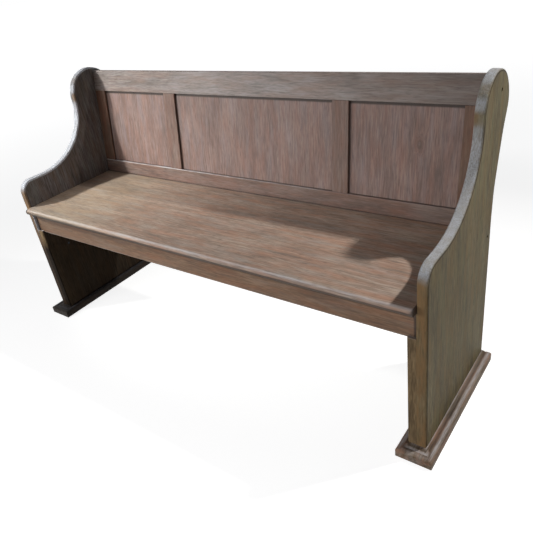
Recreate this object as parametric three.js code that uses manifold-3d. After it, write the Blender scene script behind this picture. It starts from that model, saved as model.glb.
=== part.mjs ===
// Monks bench: two S-curved pew ends on moulded sledge feet, a boarded seat between them,
// and a leaning back of three flat panels in a rail and stile frame.
// Millimetres, +Z up. X runs along the bench and its front faces -Y.

import * as THREE from 'three';
import { mergeVertices } from 'three/addons/utils/BufferGeometryUtils.js';
import Module from 'manifold-3d';

const wasm = await Module();
wasm.setup();

// Overall sizes
const benchWidth = 1600;      // over the outer faces of the two ends
const seatHeight = 480;       // floor to the top of the seat
const endDepth = 450;         // front edge to rear edge of an end, below the seat
const fitGap = 0.3;           // clearance round a tenon, pin, screw or panel
const overrun = 5;            // how far a cutter runs past the face it cuts
const weldDistance = 0.0001;  // vertices nearer than this are one

// Pew ends
const endThickness = 27;
const endRound = 5;           // rounding of the long edges
const armRise = 99;           // seat to the flat top of the arm
const noseRadius = 45;        // front of the arm
const sweepStart = 100;       // where the arm starts to sweep up, from the front edge
const lobeRadius = 97;
const lobeRise = 15.5;        // how far the lobe rises above the back's top edge
const lobeOverhang = 79;      // how far the lobe reaches behind the rear edge
const rakeAngle = THREE.MathUtils.degToRad(16.4);
const rakeDrop = 239;         // lobe's centre down to where the upright and raked rear edges would meet
const rakeEaseBelow = 109;    // where the curve between them starts, below that corner
const rakeEaseAbove = 54;     // and where it ends, above the corner along the rake
const rakeLength = 150;       // along the rake, from the corner to the curve under the lobe
const lobeLeadIn = 46;        // pull of that curve at the rake
const lobeLeadOut = 23;       // and at the back of the lobe

// Legs and feet
const legBoardThickness = 24;
const legBoardRound = 4;      // front edge that faces the leg space
const legTongue = 7;          // how far its front rises before the front rail
const footHeight = 28;
const footToe = 38;           // how far a foot runs out in front of the end
const footOutside = 30;       // how far it stands out beside the end
const footInside = 20;        // and beside the inner leg board
const footBeadHalfWidth = 10; // rounded bead round the top of a foot, from its edge to its crown
const footBeadDepth = 5;
const footBeadTurn = THREE.MathUtils.degToRad(143);  // how far the bead turns over before its groove
const footCrownDrop = 0.5;    // how far its crown lies below the foot's top
const footQuirkWidth = 2.5;   // groove behind the bead
const footCoveWidth = 5;      // slope from the groove up to the top

// Seat
const seatThickness = 22;
const seatBoardCount = 4;
const nosingReach = 21;       // how far the seat runs out in front of the ends
const railThickness = 22;
const frontRailHeight = 82;
const frontRailInset = 10;    // how far the front rail stands back from the ends' front edge
const frontRailEase = 2;
const rearRailHeight = 62;
const rearRailInset = 15;     // rear rail's back face to the ends' rear edge
const battenWidth = 45;
const battenHeight = 40;
const battenOffset = 260;     // from the middle of the bench
const blockLeg = 45;          // sides of a triangular corner block
const blockHeight = 40;

// Back
const backLean = THREE.MathUtils.degToRad(8.8);
const backThickness = 25;
const backHeelRest = 3;       // how far the back's heel stands on the rear rail
const bottomRailHeight = 50;
const panelOpeningHeight = 277;
const topRailHeight = 77;
const topRailRound = 5;
const stileWidth = 55;
const muntinWidth = 55;
const middleOpening = 656;    // between the muntins
const panelThickness = 9;
const panelRecess = 8;        // front of the frame to front of a panel
const grooveDepth = 12;
const panelEntry = 10;        // how far a panel goes into its groove

// Fasteners
const boltRadius = 3;
const boltHeadRadius = 5;
const boltHeadLength = 6;
const boltRecess = 4;         // face of the end to the bolt's head
const boltReach = 60;         // how far a bolt goes into its rail
const boltSocket = 2.9;       // corner radius of the hexagon socket
const boltSocketDepth = 3;
const boltHoleSpare = 4;      // hole beyond the bolt's tip
const nutRadius = 5;
const nutSetback = 2;         // wood left in front of a barrel nut
const nutDistance = 40;       // rail's end to the barrel nut
const dowelRadius = 4;
const dowelLength = 40;
const dowelSkin = 7;          // wood left between a dowel and the end's outer face
const screwRadius = 2.5;
const screwHeadRadius = 5;
const screwHeadDepth = 3;
const screwTip = 5;
const screwSink = 1;          // head below the face that it is driven from
const blockScrewSink = 7;     // the same in the slanted face of a corner block
const screwSkin = 7;          // wood left beyond a screw's tip
const footScrewReach = 42;    // how far a foot's screws go into the board above

// Places of fasteners, as shares of the piece that carries them
const footScrewEndShares = [0.2, 0.8];
const footScrewLegShares = [0.35, 0.65];
const legScrewDepthShares = [0.2, 0.8];
const legScrewHeightShare = 0.6;
const middleShare = 1 / 2;

// Steps round the curves
const outlineSteps = 12;
const roundingSteps = 3;
const mouldingSteps = 8;
const roundSides = 16;
const screwSides = 8;
const hexSides = 6;

// Values that follow
const halfWidth = benchWidth / 2;
const endInner = halfWidth - endThickness;
const legInner = endInner - legBoardThickness;
const clearWidth = 2 * endInner;
const seatUnderside = seatHeight - seatThickness;
const rearRailBack = endDepth - rearRailInset;
const rearRailFront = rearRailBack - railThickness;
const frontRailBack = frontRailInset + railThickness;
const backBase = seatHeight + fitGap;
const openingBase = bottomRailHeight;
const openingTop = openingBase + panelOpeningHeight;
const backHeight = openingTop + topRailHeight;
const backFoot = rearRailFront + backHeelRest - backThickness / Math.cos(backLean);
const armHeight = seatHeight + armRise;
const endHeight = backBase + backHeight * Math.cos(backLean) + lobeRise;
const lobeCentreY = endDepth + lobeOverhang - lobeRadius;
const lobeCentreZ = endHeight - lobeRadius;
const frameClear = clearWidth - 2 * fitGap;
const grooveWidth = panelThickness + 2 * fitGap;
const grooveFront = panelRecess - fitGap;
const depthMiddle = (endDepth + lobeOverhang - footToe) / 2;
const nutLength = Math.min(railThickness, backThickness) - 2 * nutSetback;
const footScrewLength = footHeight + footScrewReach - screwSink;
const legScrewLength = legBoardThickness + endThickness - screwSkin - screwSink;
const battenScrewLength = battenHeight + seatThickness - screwSkin - screwSink;
const blockScrewLength = blockLeg / 2 + railThickness - screwSkin - blockScrewSink;

// Basic solids

function solidOf(geometry) {
  const bare = geometry.clone();
  bare.deleteAttribute('normal');
  bare.deleteAttribute('uv');
  const welded = mergeVertices(bare, weldDistance);
  const vertProperties = Float32Array.from(welded.attributes.position.array);
  const triVerts = Uint32Array.from(welded.index.array);
  const mesh = new wasm.Mesh({ numProp: 3, vertProperties, triVerts });
  return new wasm.Manifold(mesh);
}

function geometryOf(solid) {
  const mesh = solid.getMesh();
  const geometry = new THREE.BufferGeometry();
  geometry.setAttribute('position', new THREE.BufferAttribute(Float32Array.from(mesh.vertProperties), 3));
  geometry.setIndex(new THREE.BufferAttribute(Uint32Array.from(mesh.triVerts), 1));
  geometry.computeVertexNormals();
  return geometry;
}

// A box between two corners
function boxSolid(low, high) {
  const size = high.map((value, axis) => value - low[axis]);
  const geometry = new THREE.BoxGeometry(...size);
  geometry.translate(...high.map((value, axis) => (value + low[axis]) / 2));
  return solidOf(geometry);
}

// An outline in Y and Z, carried along X and centred on X = 0
function alongX(shape, length, bevel = {}) {
  const round = bevel.round ?? 0;
  const geometry = new THREE.ExtrudeGeometry(shape, {
    depth: length - 2 * round,
    steps: 1,
    curveSegments: bevel.curveSegments ?? outlineSteps,
    bevelEnabled: round > 0,
    bevelThickness: round,
    bevelSize: round,
    bevelOffset: -round,
    bevelSegments: roundingSteps,
  });
  geometry.translate(0, 0, round - length / 2);
  const axisX = new THREE.Vector3(1, 0, 0);
  const axisY = new THREE.Vector3(0, 1, 0);
  const axisZ = new THREE.Vector3(0, 0, 1);
  geometry.applyMatrix4(new THREE.Matrix4().makeBasis(axisY, axisZ, axisX));
  return solidOf(geometry);
}

function inOrder(...values) {
  return values.sort((a, b) => a - b);
}

function polygon(points) {
  return new THREE.Shape(points.map(([u, v]) => new THREE.Vector2(u, v)));
}

// A profile of [radius, height] turned round its axis, pointing along a direction from a start
function turned(profile, sides, start, direction) {
  const points = profile.map(([radius, height]) => new THREE.Vector2(radius, height));
  const geometry = new THREE.LatheGeometry(points, sides);
  const up = new THREE.Vector3(0, 1, 0);
  const turn = new THREE.Quaternion().setFromUnitVectors(up, new THREE.Vector3(...direction));
  geometry.applyQuaternion(turn);
  geometry.translate(...start);
  return solidOf(geometry);
}

function rod(radius, length, start, direction, sides = roundSides) {
  return turned([[0, 0], [radius, 0], [radius, length], [0, length]], sides, start, direction);
}

function joined(solids) {
  return solids.reduce((whole, next) => whole.add(next));
}

function cut(solid, cutters) {
  return cutters.reduce((rest, cutter) => rest.subtract(cutter), solid);
}

function piece(name, solid, finish) {
  const material = new THREE.MeshStandardMaterial(finish);
  const mesh = new THREE.Mesh(geometryOf(solid), material);
  mesh.name = name;
  return mesh;
}

function sideName(side, words) {
  return `${side < 0 ? 'left' : 'right'}_${words}`;
}

const woodFinish = { color: 0x84766a, roughness: 0.55, metalness: 0 };
const darkWoodFinish = { color: 0x5f554c, roughness: 0.65, metalness: 0 };
const dowelFinish = { color: 0xb89f7c, roughness: 0.7, metalness: 0 };
const steelFinish = { color: 0x55565a, roughness: 0.4, metalness: 0.9 };

// Fasteners, with the holes that take them

function screwProfile(length, spare) {
  return [
    [0, 0],
    [screwHeadRadius + spare, 0],
    [screwRadius + spare, screwHeadDepth],
    [screwRadius + spare, length - screwTip + spare],
    [0, length + spare],
  ];
}

function screw(length, face, direction, sink = screwSink) {
  const start = face.map((value, axis) => value + sink * direction[axis]);
  return turned(screwProfile(length, 0), screwSides, start, direction);
}

function screwHole(length, face, direction, sink = screwSink) {
  const start = face.map((value, axis) => value + sink * direction[axis]);
  const back = sink + overrun;
  const mouthStart = face.map((value, axis) => value - back * direction[axis]);
  const mouth = rod(screwHeadRadius + fitGap, back + sink, mouthStart, direction, screwSides);
  return joined([turned(screwProfile(length, fitGap), screwSides, start, direction), mouth]);
}

// A socket-headed bolt driven inwards through an end, and its hole
function bolt(side, y, z) {
  const inwards = [-side, 0, 0];
  const headFace = side * (halfWidth - boltRecess);
  const shankLength = endThickness - boltRecess + boltReach;
  const profile = [
    [0, 0],
    [boltHeadRadius, 0],
    [boltHeadRadius, boltHeadLength],
    [boltRadius, boltHeadLength],
    [boltRadius, shankLength],
    [0, shankLength],
  ];
  const socketStart = [headFace + side * overrun, y, z];
  const socket = rod(boltSocket, overrun + boltSocketDepth, socketStart, inwards, hexSides);
  return turned(profile, roundSides, [headFace, y, z], inwards).subtract(socket);
}

function boltHole(side, y, z) {
  const inwards = [-side, 0, 0];
  const mouth = side * (halfWidth + overrun);
  const headDepth = overrun + boltRecess + boltHeadLength + fitGap;
  const depth = overrun + endThickness + boltReach + boltHoleSpare;
  return joined([
    rod(boltHeadRadius + fitGap, headDepth, [mouth, y, z], inwards),
    rod(boltRadius + fitGap, depth, [mouth, y, z], inwards),
  ]);
}

// A barrel nut lies across the rail, with the bolt through its middle
function barrelNut(side, y, z) {
  const start = [side * (endInner - nutDistance), y - nutLength / 2, z];
  return rod(nutRadius, nutLength, start, [0, 1, 0]).subtract(boltHole(side, y, z));
}

function barrelNutHole(side, y, back, z) {
  const front = y - nutLength / 2 - fitGap;
  return rod(nutRadius + fitGap, back - front + overrun, [side * (endInner - nutDistance), front, z], [0, 1, 0]);
}

function dowel(side, y, z) {
  return rod(dowelRadius, dowelLength, [side * (halfWidth - dowelSkin), y, z], [-side, 0, 0]);
}

function dowelHole(side, y, z) {
  const start = [side * (halfWidth - dowelSkin + fitGap), y, z];
  return rod(dowelRadius + fitGap, dowelLength + 2 * fitGap, start, [-side, 0, 0]);
}

// Places shared by a piece and by what fastens it

// A point of the leaning back, from its depth and its height along the slope
function backPoint(depth, height) {
  const y = backFoot + height * Math.sin(backLean) + depth * Math.cos(backLean);
  const z = backBase + height * Math.cos(backLean) - depth * Math.sin(backLean);
  return [y, z];
}

const backBolt = { depth: backThickness / 2, height: openingTop + topRailHeight / 2 };
const backDowel = { depth: backThickness / 2, height: bottomRailHeight / 2 };
const railBoltY = (rearRailFront + rearRailBack) / 2;
const railBoltZ = seatHeight - rearRailHeight / 2;

function footScrewPlaces(side) {
  const inEnd = footScrewEndShares.map((share) => [side * (halfWidth - endThickness / 2), endDepth * share, 0]);
  const inLeg = footScrewLegShares.map((share) => [side * (endInner - legBoardThickness / 2), endDepth * share, 0]);
  return [...inEnd, ...inLeg];
}

function legScrewPlaces(side) {
  const z = footHeight + (seatUnderside - footHeight) * legScrewHeightShare;
  return legScrewDepthShares.map((share) => [side * legInner, endDepth * share, z]);
}

// Pew end: outline from the front foot of the board, round by the rear

function endShape() {
  const shape = new THREE.Shape();
  const base = footHeight - endRound;
  const rakeCorner = lobeCentreZ - rakeDrop;
  const rakeY = Math.sin(rakeAngle);
  const rakeZ = Math.cos(rakeAngle);
  const rakeTopY = endDepth + rakeLength * rakeY;
  const rakeTopZ = rakeCorner + rakeLength * rakeZ;
  const lobeBack = lobeCentreY + lobeRadius;
  shape.moveTo(0, base);
  shape.lineTo(endDepth, base);
  shape.lineTo(endDepth, rakeCorner - rakeEaseBelow);
  shape.quadraticCurveTo(endDepth, rakeCorner,
    endDepth + rakeEaseAbove * rakeY, rakeCorner + rakeEaseAbove * rakeZ);
  shape.lineTo(rakeTopY, rakeTopZ);
  shape.bezierCurveTo(rakeTopY + lobeLeadIn * rakeY, rakeTopZ + lobeLeadIn * rakeZ,
    lobeBack, lobeCentreZ - lobeLeadOut, lobeBack, lobeCentreZ);
  shape.absarc(lobeCentreY, lobeCentreZ, lobeRadius, 0, Math.PI, false);
  shape.absellipse(sweepStart, lobeCentreZ, lobeCentreY - lobeRadius - sweepStart,
    lobeCentreZ - armHeight, 0, -Math.PI / 2, true);
  shape.lineTo(noseRadius, armHeight);
  shape.absarc(noseRadius, armHeight - noseRadius, noseRadius, Math.PI / 2, Math.PI, false);
  return shape;
}

// The rounding runs out below the seat, where the inner leg board lies against the end
function pewEnd(side) {
  const middle = side * (halfWidth - endThickness / 2);
  const slab = alongX(endShape(), endThickness, { round: endRound }).translate([middle, 0, 0]);
  const [innerX, roundedX] = inOrder(side * endInner, side * (endInner + endRound));
  const square = boxSolid([innerX, 0, footHeight], [roundedX, endDepth, seatUnderside]);
  const belowFoot = boxSolid(
    [middle - endThickness, -overrun, 0], [middle + endThickness, endDepth + overrun, footHeight]);
  const [boltY, boltZ] = backPoint(backBolt.depth, backBolt.height);
  const [pinY, pinZ] = backPoint(backDowel.depth, backDowel.height);
  return cut(slab.add(square), [
    belowFoot,
    boltHole(side, boltY, boltZ),
    boltHole(side, railBoltY, railBoltZ),
    dowelHole(side, pinY, pinZ),
    ...footScrewPlaces(side).map((place) => screwHole(footScrewLength, place, [0, 0, 1])),
    ...legScrewPlaces(side).map((place) => screwHole(legScrewLength, place, [side, 0, 0])),
  ]);
}

// Inner leg board: carries the seat and is notched for both seat rails
function legBoard(side) {
  const inner = side * legInner;
  const outer = side * endInner;
  const shape = new THREE.Shape();
  shape.moveTo(outer, 0);
  shape.lineTo(outer, endDepth);
  shape.lineTo(inner, endDepth);
  shape.lineTo(inner, legBoardRound);
  shape.quadraticCurveTo(inner, 0, inner + side * legBoardRound, 0);
  const geometry = new THREE.ExtrudeGeometry(shape, {
    depth: seatUnderside - footHeight,
    bevelEnabled: false,
    curveSegments: roundingSteps,
  });
  geometry.translate(0, 0, footHeight);
  const [lowX, highX] = inOrder(side * (legInner - overrun), side * (endInner + overrun));
  const top = seatUnderside + overrun;
  const railBottom = seatUnderside - frontRailHeight;
  const frontNotch = boxSolid(
    [lowX, frontRailInset - fitGap, railBottom - fitGap], [highX, frontRailBack + fitGap, top]);
  const openFront = boxSolid([lowX, -overrun, railBottom + legTongue], [highX, frontRailBack, top]);
  const rearNotch = boxSolid(
    [lowX, rearRailFront - fitGap, seatHeight - rearRailHeight - fitGap], [highX, endDepth + overrun, top]);
  return cut(solidOf(geometry), [
    frontNotch,
    openFront,
    rearNotch,
    ...footScrewPlaces(side).map((place) => screwHole(footScrewLength, place, [0, 0, 1])),
    ...legScrewPlaces(side).map((place) => screwHole(legScrewLength, place, [side, 0, 0])),
  ]);
}

// Foot: a quirked bead is mitred round its top, and the rear is sawn off square

const quirkInset = footBeadHalfWidth * (1 - Math.cos(footBeadTurn)) + footQuirkWidth;
const footTopInset = quirkInset + footCoveWidth;

function footRings() {
  const rings = [[0, 0]];
  const springing = footHeight - footCrownDrop - footBeadDepth;
  const quirkFloor = springing + footBeadDepth * Math.sin(footBeadTurn);
  for (let step = 0; step <= mouldingSteps; step += 1) {
    const turn = (step / mouldingSteps) * footBeadTurn;
    rings.push([footBeadHalfWidth * (1 - Math.cos(turn)), springing + footBeadDepth * Math.sin(turn)]);
  }
  rings.push([quirkInset, quirkFloor], [footTopInset, footHeight]);
  return rings;
}

function ringStack(rings, lowX, highX, front, back) {
  const positions = rings.flatMap(([inset, z]) => [
    lowX + inset, front + inset, z,
    highX - inset, front + inset, z,
    highX - inset, back - inset, z,
    lowX + inset, back - inset, z,
  ]);
  const cornerCount = 4;
  const last = cornerCount * (rings.length - 1);
  const faces = [0, 2, 1, 0, 3, 2, last, last + 1, last + 2, last, last + 2, last + 3];
  for (let start = 0; start < last; start += cornerCount) {
    for (let corner = 0; corner < cornerCount; corner += 1) {
      const next = (corner + 1) % cornerCount;
      const [a, b] = [start + corner, start + next];
      faces.push(a, b, b + cornerCount, a, b + cornerCount, a + cornerCount);
    }
  }
  const geometry = new THREE.BufferGeometry();
  geometry.setAttribute('position', new THREE.Float32BufferAttribute(positions, 3));
  geometry.setIndex(faces);
  return solidOf(geometry);
}

function foot(side) {
  const [lowX, highX] = inOrder(side * (legInner - footInside), side * (halfWidth + footOutside));
  const sawnOff = footTopInset + overrun;
  const block = ringStack(footRings(), lowX, highX, -footToe, endDepth + sawnOff);
  return cut(block, [
    boxSolid(
      [lowX - overrun, endDepth, -overrun],
      [highX + overrun, endDepth + sawnOff + overrun, footHeight + overrun]),
    ...footScrewPlaces(side).map((place) => screwHole(footScrewLength, place, [0, 0, 1])),
  ]);
}

// Seat boards: the front one has a round nosing

const seatBoardWidth = (rearRailFront + nosingReach) / seatBoardCount;

function seatBoardShape(index) {
  const front = -nosingReach + index * seatBoardWidth;
  const back = front + seatBoardWidth;
  const shape = new THREE.Shape();
  shape.moveTo(back, seatUnderside);
  shape.lineTo(back, seatHeight);
  if (index === 0) {
    const radius = seatThickness / 2;
    shape.absarc(front + radius, seatHeight - radius, radius, Math.PI / 2, 3 * Math.PI / 2, false);
  } else {
    shape.lineTo(front, seatHeight);
    shape.lineTo(front, seatUnderside);
  }
  return shape;
}

// Each in the middle of what a seat board shows behind the front rail
function battenScrewPlaces() {
  const boards = Array.from({ length: seatBoardCount }, (_, index) => index);
  const depths = boards.map((index) => {
    const front = index * seatBoardWidth - nosingReach;
    return (Math.max(front, frontRailBack) + front + seatBoardWidth) * middleShare;
  });
  return [-battenOffset, battenOffset].flatMap((x) => depths.map((y) => [x, y, seatUnderside - battenHeight]));
}

function seatBoard(index) {
  const board = alongX(seatBoardShape(index), clearWidth);
  return cut(board, battenScrewPlaces().map((place) => screwHole(battenScrewLength, place, [0, 0, 1])));
}

// Seat rails, battens and corner blocks

function frontRail() {
  const front = frontRailInset;
  const bottom = seatUnderside - frontRailHeight;
  const rail = alongX(polygon([
    [front, seatUnderside],
    [front, bottom + frontRailEase],
    [front + frontRailEase, bottom],
    [frontRailBack, bottom],
    [frontRailBack, seatUnderside],
  ]), clearWidth);
  return cut(rail, [-1, 1].map((side) => blockScrewHole(side)));
}

function rearRail() {
  const rail = boxSolid(
    [-endInner, rearRailFront, seatHeight - rearRailHeight], [endInner, rearRailBack, seatHeight]);
  return cut(rail, [-1, 1].flatMap((side) => [
    boltHole(side, railBoltY, railBoltZ),
    barrelNutHole(side, railBoltY, rearRailBack, railBoltZ),
  ]));
}

function seatBatten(side) {
  const x = side * battenOffset;
  const batten = boxSolid(
    [x - battenWidth / 2, frontRailBack, seatUnderside - battenHeight],
    [x + battenWidth / 2, rearRailFront, seatUnderside]);
  return cut(batten, battenScrewPlaces().map((place) => screwHole(battenScrewLength, place, [0, 0, 1])));
}

// A triangular block glued into the corner of a rail and a leg board
function cornerBlock(side, end) {
  const y = end === 'front' ? frontRailBack : rearRailFront;
  const towardsMiddle = end === 'front' ? 1 : -1;
  const corner = [side * legInner, y];
  const alongRail = [side * (legInner - blockLeg), y];
  const alongLeg = [side * legInner, y + towardsMiddle * blockLeg];
  const shape = polygon([corner, alongRail, alongLeg]);
  const geometry = new THREE.ExtrudeGeometry(shape, { depth: blockHeight, bevelEnabled: false });
  geometry.translate(0, 0, seatUnderside - blockHeight);
  const block = solidOf(geometry);
  return end === 'front' ? block.subtract(blockScrewHole(side)) : block;
}

// A screw from the middle of a front block's slanted face into the front rail
function blockScrewPlace(side) {
  return [side * (legInner - blockLeg / 2), frontRailBack + blockLeg / 2, seatUnderside - blockHeight / 2];
}

function blockScrewHole(side) {
  return screwHole(blockScrewLength, blockScrewPlace(side), [0, -1, 0], blockScrewSink);
}

// Back frame, built upright: Y is the depth from its front face, Z the height along the slope

function grooveBetween(low, high) {
  return boxSolid([low[0], grooveFront, low[1]], [high[0], grooveFront + grooveWidth, high[1]]);
}

function backBottomRail() {
  const heel = backThickness * Math.tan(backLean);
  const section = polygon([
    [0, 0], [backThickness, heel], [backThickness, openingBase], [0, openingBase],
  ]);
  const half = frameClear / 2 + overrun;
  return cut(alongX(section, frameClear), [
    grooveBetween([-half, openingBase - grooveDepth], [half, openingBase + overrun]),
    ...[-1, 1].map((side) => dowelHole(side, backDowel.depth, backDowel.height)),
  ]);
}

function backTopRail() {
  const round = topRailRound;
  const shape = new THREE.Shape();
  shape.moveTo(0, openingTop);
  shape.lineTo(backThickness, openingTop);
  shape.lineTo(backThickness, backHeight - round);
  shape.quadraticCurveTo(backThickness, backHeight, backThickness - round, backHeight);
  shape.lineTo(round, backHeight);
  shape.quadraticCurveTo(0, backHeight, 0, backHeight - round);
  const half = frameClear / 2 + overrun;
  return cut(alongX(shape, frameClear, { curveSegments: roundingSteps }), [
    grooveBetween([-half, openingTop - overrun], [half, openingTop + grooveDepth]),
    ...[-1, 1].flatMap((side) => [
      boltHole(side, backBolt.depth, backBolt.height),
      barrelNutHole(side, backBolt.depth, backThickness, backBolt.height),
    ]),
  ]);
}

// A stile or muntin: square shoulders on both rails, stub tenons in their grooves, and a
// groove in each edge that faces a panel
function upright(lowX, highX, groovedEdges) {
  const low = openingBase + fitGap;
  const high = openingTop - fitGap;
  const tenon = grooveDepth - fitGap;
  const body = boxSolid([lowX, 0, low], [highX, backThickness, high]);
  const tongue = boxSolid([lowX, panelRecess, openingBase - tenon],
    [highX, panelRecess + panelThickness, openingTop + tenon]);
  const base = openingBase - grooveDepth - overrun;
  const top = openingTop + grooveDepth + overrun;
  const grooves = groovedEdges.map((edge) => {
    const isLow = edge === 'low';
    return grooveBetween(
      [isLow ? lowX - overrun : highX - grooveDepth, base],
      [isLow ? lowX + grooveDepth : highX + overrun, top]);
  });
  return cut(body.add(tongue), grooves);
}

function panel(lowX, highX) {
  return boxSolid(
    [lowX - panelEntry, panelRecess, openingBase - panelEntry],
    [highX + panelEntry, panelRecess + panelThickness, openingTop + panelEntry]);
}

// The parts, put together

// One screw for each place, all driven the same way
function screwRow(name, length, places, direction) {
  return places.map((place, index) => piece(`${name}_${index + 1}`, screw(length, place, direction), steelFinish));
}

function makeEnds() {
  const group = new THREE.Group();
  for (const side of [-1, 1]) {
    group.add(
      piece(sideName(side, 'end'), pewEnd(side), woodFinish),
      piece(sideName(side, 'leg_board'), legBoard(side), woodFinish),
      piece(sideName(side, 'foot'), foot(side), woodFinish),
      ...screwRow(sideName(side, 'foot_screw'), footScrewLength, footScrewPlaces(side), [0, 0, 1]),
      ...screwRow(sideName(side, 'leg_screw'), legScrewLength, legScrewPlaces(side), [side, 0, 0]),
    );
  }
  return group;
}

function makeSeat() {
  const group = new THREE.Group();
  for (let index = 0; index < seatBoardCount; index += 1) {
    group.add(piece(`seat_board_${index + 1}`, seatBoard(index), woodFinish));
  }
  group.add(
    piece('front_rail', frontRail(), woodFinish),
    piece('rear_rail', rearRail(), woodFinish),
    ...screwRow('batten_screw', battenScrewLength, battenScrewPlaces(), [0, 0, 1]),
  );
  for (const side of [-1, 1]) {
    const blockScrew = screw(blockScrewLength, blockScrewPlace(side), [0, -1, 0], blockScrewSink);
    group.add(
      piece(sideName(side, 'batten'), seatBatten(side), darkWoodFinish),
      piece(sideName(side, 'front_block'), cornerBlock(side, 'front'), darkWoodFinish),
      piece(sideName(side, 'rear_block'), cornerBlock(side, 'rear'), darkWoodFinish),
      piece(sideName(side, 'block_screw'), blockScrew, steelFinish),
      piece(sideName(side, 'rail_bolt'), bolt(side, railBoltY, railBoltZ), steelFinish),
      piece(sideName(side, 'rail_nut'), barrelNut(side, railBoltY, railBoltZ), steelFinish),
    );
  }
  return group;
}

function makeBack() {
  const group = new THREE.Group();
  const outer = frameClear / 2;
  const stileInner = endInner - stileWidth;
  const middle = middleOpening / 2;
  const muntinOuter = middle + muntinWidth;
  group.add(
    piece('back_bottom_rail', backBottomRail(), woodFinish),
    piece('back_top_rail', backTopRail(), woodFinish),
    piece('left_stile', upright(-outer, -stileInner, ['high']), woodFinish),
    piece('right_stile', upright(stileInner, outer, ['low']), woodFinish),
    piece('left_muntin', upright(-muntinOuter, -middle, ['low', 'high']), woodFinish),
    piece('right_muntin', upright(middle, muntinOuter, ['low', 'high']), woodFinish),
    piece('left_panel', panel(-stileInner, -muntinOuter), woodFinish),
    piece('middle_panel', panel(-middle, middle), woodFinish),
    piece('right_panel', panel(muntinOuter, stileInner), woodFinish),
  );
  for (const side of [-1, 1]) {
    group.add(
      piece(sideName(side, 'back_dowel'), dowel(side, backDowel.depth, backDowel.height), dowelFinish),
      piece(sideName(side, 'back_bolt'), bolt(side, backBolt.depth, backBolt.height), steelFinish),
      piece(sideName(side, 'back_nut'), barrelNut(side, backBolt.depth, backBolt.height), steelFinish),
    );
  }
  group.position.set(0, backFoot, backBase);
  group.rotation.x = -backLean;
  return group;
}

const bench = new THREE.Group();
bench.add(makeEnds(), makeSeat(), makeBack());
bench.position.y = -depthMiddle;

export default bench;
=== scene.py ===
import math

import bmesh
import bpy
import numpy as np
from mathutils import Matrix, Vector


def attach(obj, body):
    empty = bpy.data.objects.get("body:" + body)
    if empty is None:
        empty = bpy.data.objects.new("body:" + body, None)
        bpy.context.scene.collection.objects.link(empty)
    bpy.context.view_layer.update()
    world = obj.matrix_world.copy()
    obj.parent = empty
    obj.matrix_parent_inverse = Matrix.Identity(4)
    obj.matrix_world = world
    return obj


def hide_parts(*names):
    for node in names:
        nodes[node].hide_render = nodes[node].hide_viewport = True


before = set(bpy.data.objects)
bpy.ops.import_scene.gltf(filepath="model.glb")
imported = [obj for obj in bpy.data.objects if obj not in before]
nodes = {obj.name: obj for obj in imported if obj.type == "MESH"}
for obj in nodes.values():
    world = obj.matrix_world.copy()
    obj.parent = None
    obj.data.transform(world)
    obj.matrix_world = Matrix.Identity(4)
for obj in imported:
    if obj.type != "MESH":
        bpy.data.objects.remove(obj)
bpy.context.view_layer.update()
print("frame loaded:", len(nodes), "nodes")

# Lengths are millimetres, measured back from the ends' front edge, until a piece is placed
bench = {
    "frontEdge": -245.5,     # the ends' front edge in the shared frame
    "halfWidth": 800.0,      # outer face of an end, from the middle
    "endInner": 773.0,       # its inner face
    "legInner": 749.0,       # inner face of a leg board
    "endDepth": 450.0,
    "footTop": 28.0,
    "seatUnder": 458.0,
    "seatTop": 480.0,
    "fit": 0.3,              # clearance where one board is let into another
    "near": 1.0,             # a point this close to a line or a face counts as on it
    "nutOut": 733.0,         # the barrel nuts, from the middle
}
frontRail = {
    "front": 10.0, "rear": 32.0, "under": 376.0, "step": 3.0, "log": 51,
    "round": 2.5,            # its lower front edge
    "arris": 0.8,
    "hidden": 17.0,          # the nosing hides this much of its front
    "shade": 0.5,            # how fast the painted shade under the nosing ends
    "darkEnd": (766.0, 0.8),              # painted shadow: the right end is dark up to here, and how fast that ends
    "bare": ((-773.0, -100.0), (0.6, 0.0)),    # painted shade: how dark the left is made
    "worn": ((-740.0, -640.0), (0.8, 0.3)),    # how rubbed its edges are
}
rearRail = {"front": 413.0, "rear": 435.0, "under": 418.0, "arris": 1.2, "log": 52}
back = {
    "lean": math.radians(8.8),
    "depth": 25.0,
    "overRail": 3.0,         # its heel reaches this far over the rear rail
    "bottomRail": 50.0,
    "openingTop": 327.0,
    "top": 404.0,
    "stileInner": 718.0,
    "muntin": (328.0, 383.0),
    "boltHeight": 365.5,
    "logs": {"lower": 61, "upper": 62, "upright": 71},
}
backFoot = rearRail["front"] + back["overRail"] - back["depth"] / math.cos(back["lean"])
backBase = bench["seatTop"] + bench["fit"]
backHalf = bench["endInner"] - bench["fit"]
bothSides = ((-1, "left"), (1, "right"))
benchPlace = Matrix.Scale(0.001, 4) @ Matrix.Translation((0, bench["frontEdge"], 0))
backPlace = (benchPlace @ Matrix.Translation((0, backFoot, backBase))
             @ Matrix.Rotation(-back["lean"], 4, "X"))


# Camera, floor, sky and lamps

def inScene(name, data):
    # a new object of this data
    thing = bpy.data.objects.new(name, data)
    bpy.context.scene.collection.objects.link(thing)
    return thing


def clearedTree(owner):
    # the empty node tree of a material or of the world
    owner.use_nodes = True
    owner.node_tree.nodes.clear()
    return owner.node_tree


def linearColour(code):
    # sRGB to linear: a straight line near black, and above it a power of 2.4
    channels = np.array([int(code[start:start + 2], 16) for start in (1, 3, 5)]) / 255
    dark = channels / 12.92
    light = ((channels + 0.055) / 1.055) ** 2.4
    return (*np.where(channels <= 0.04045, dark, light).tolist(), 1.0)


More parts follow.
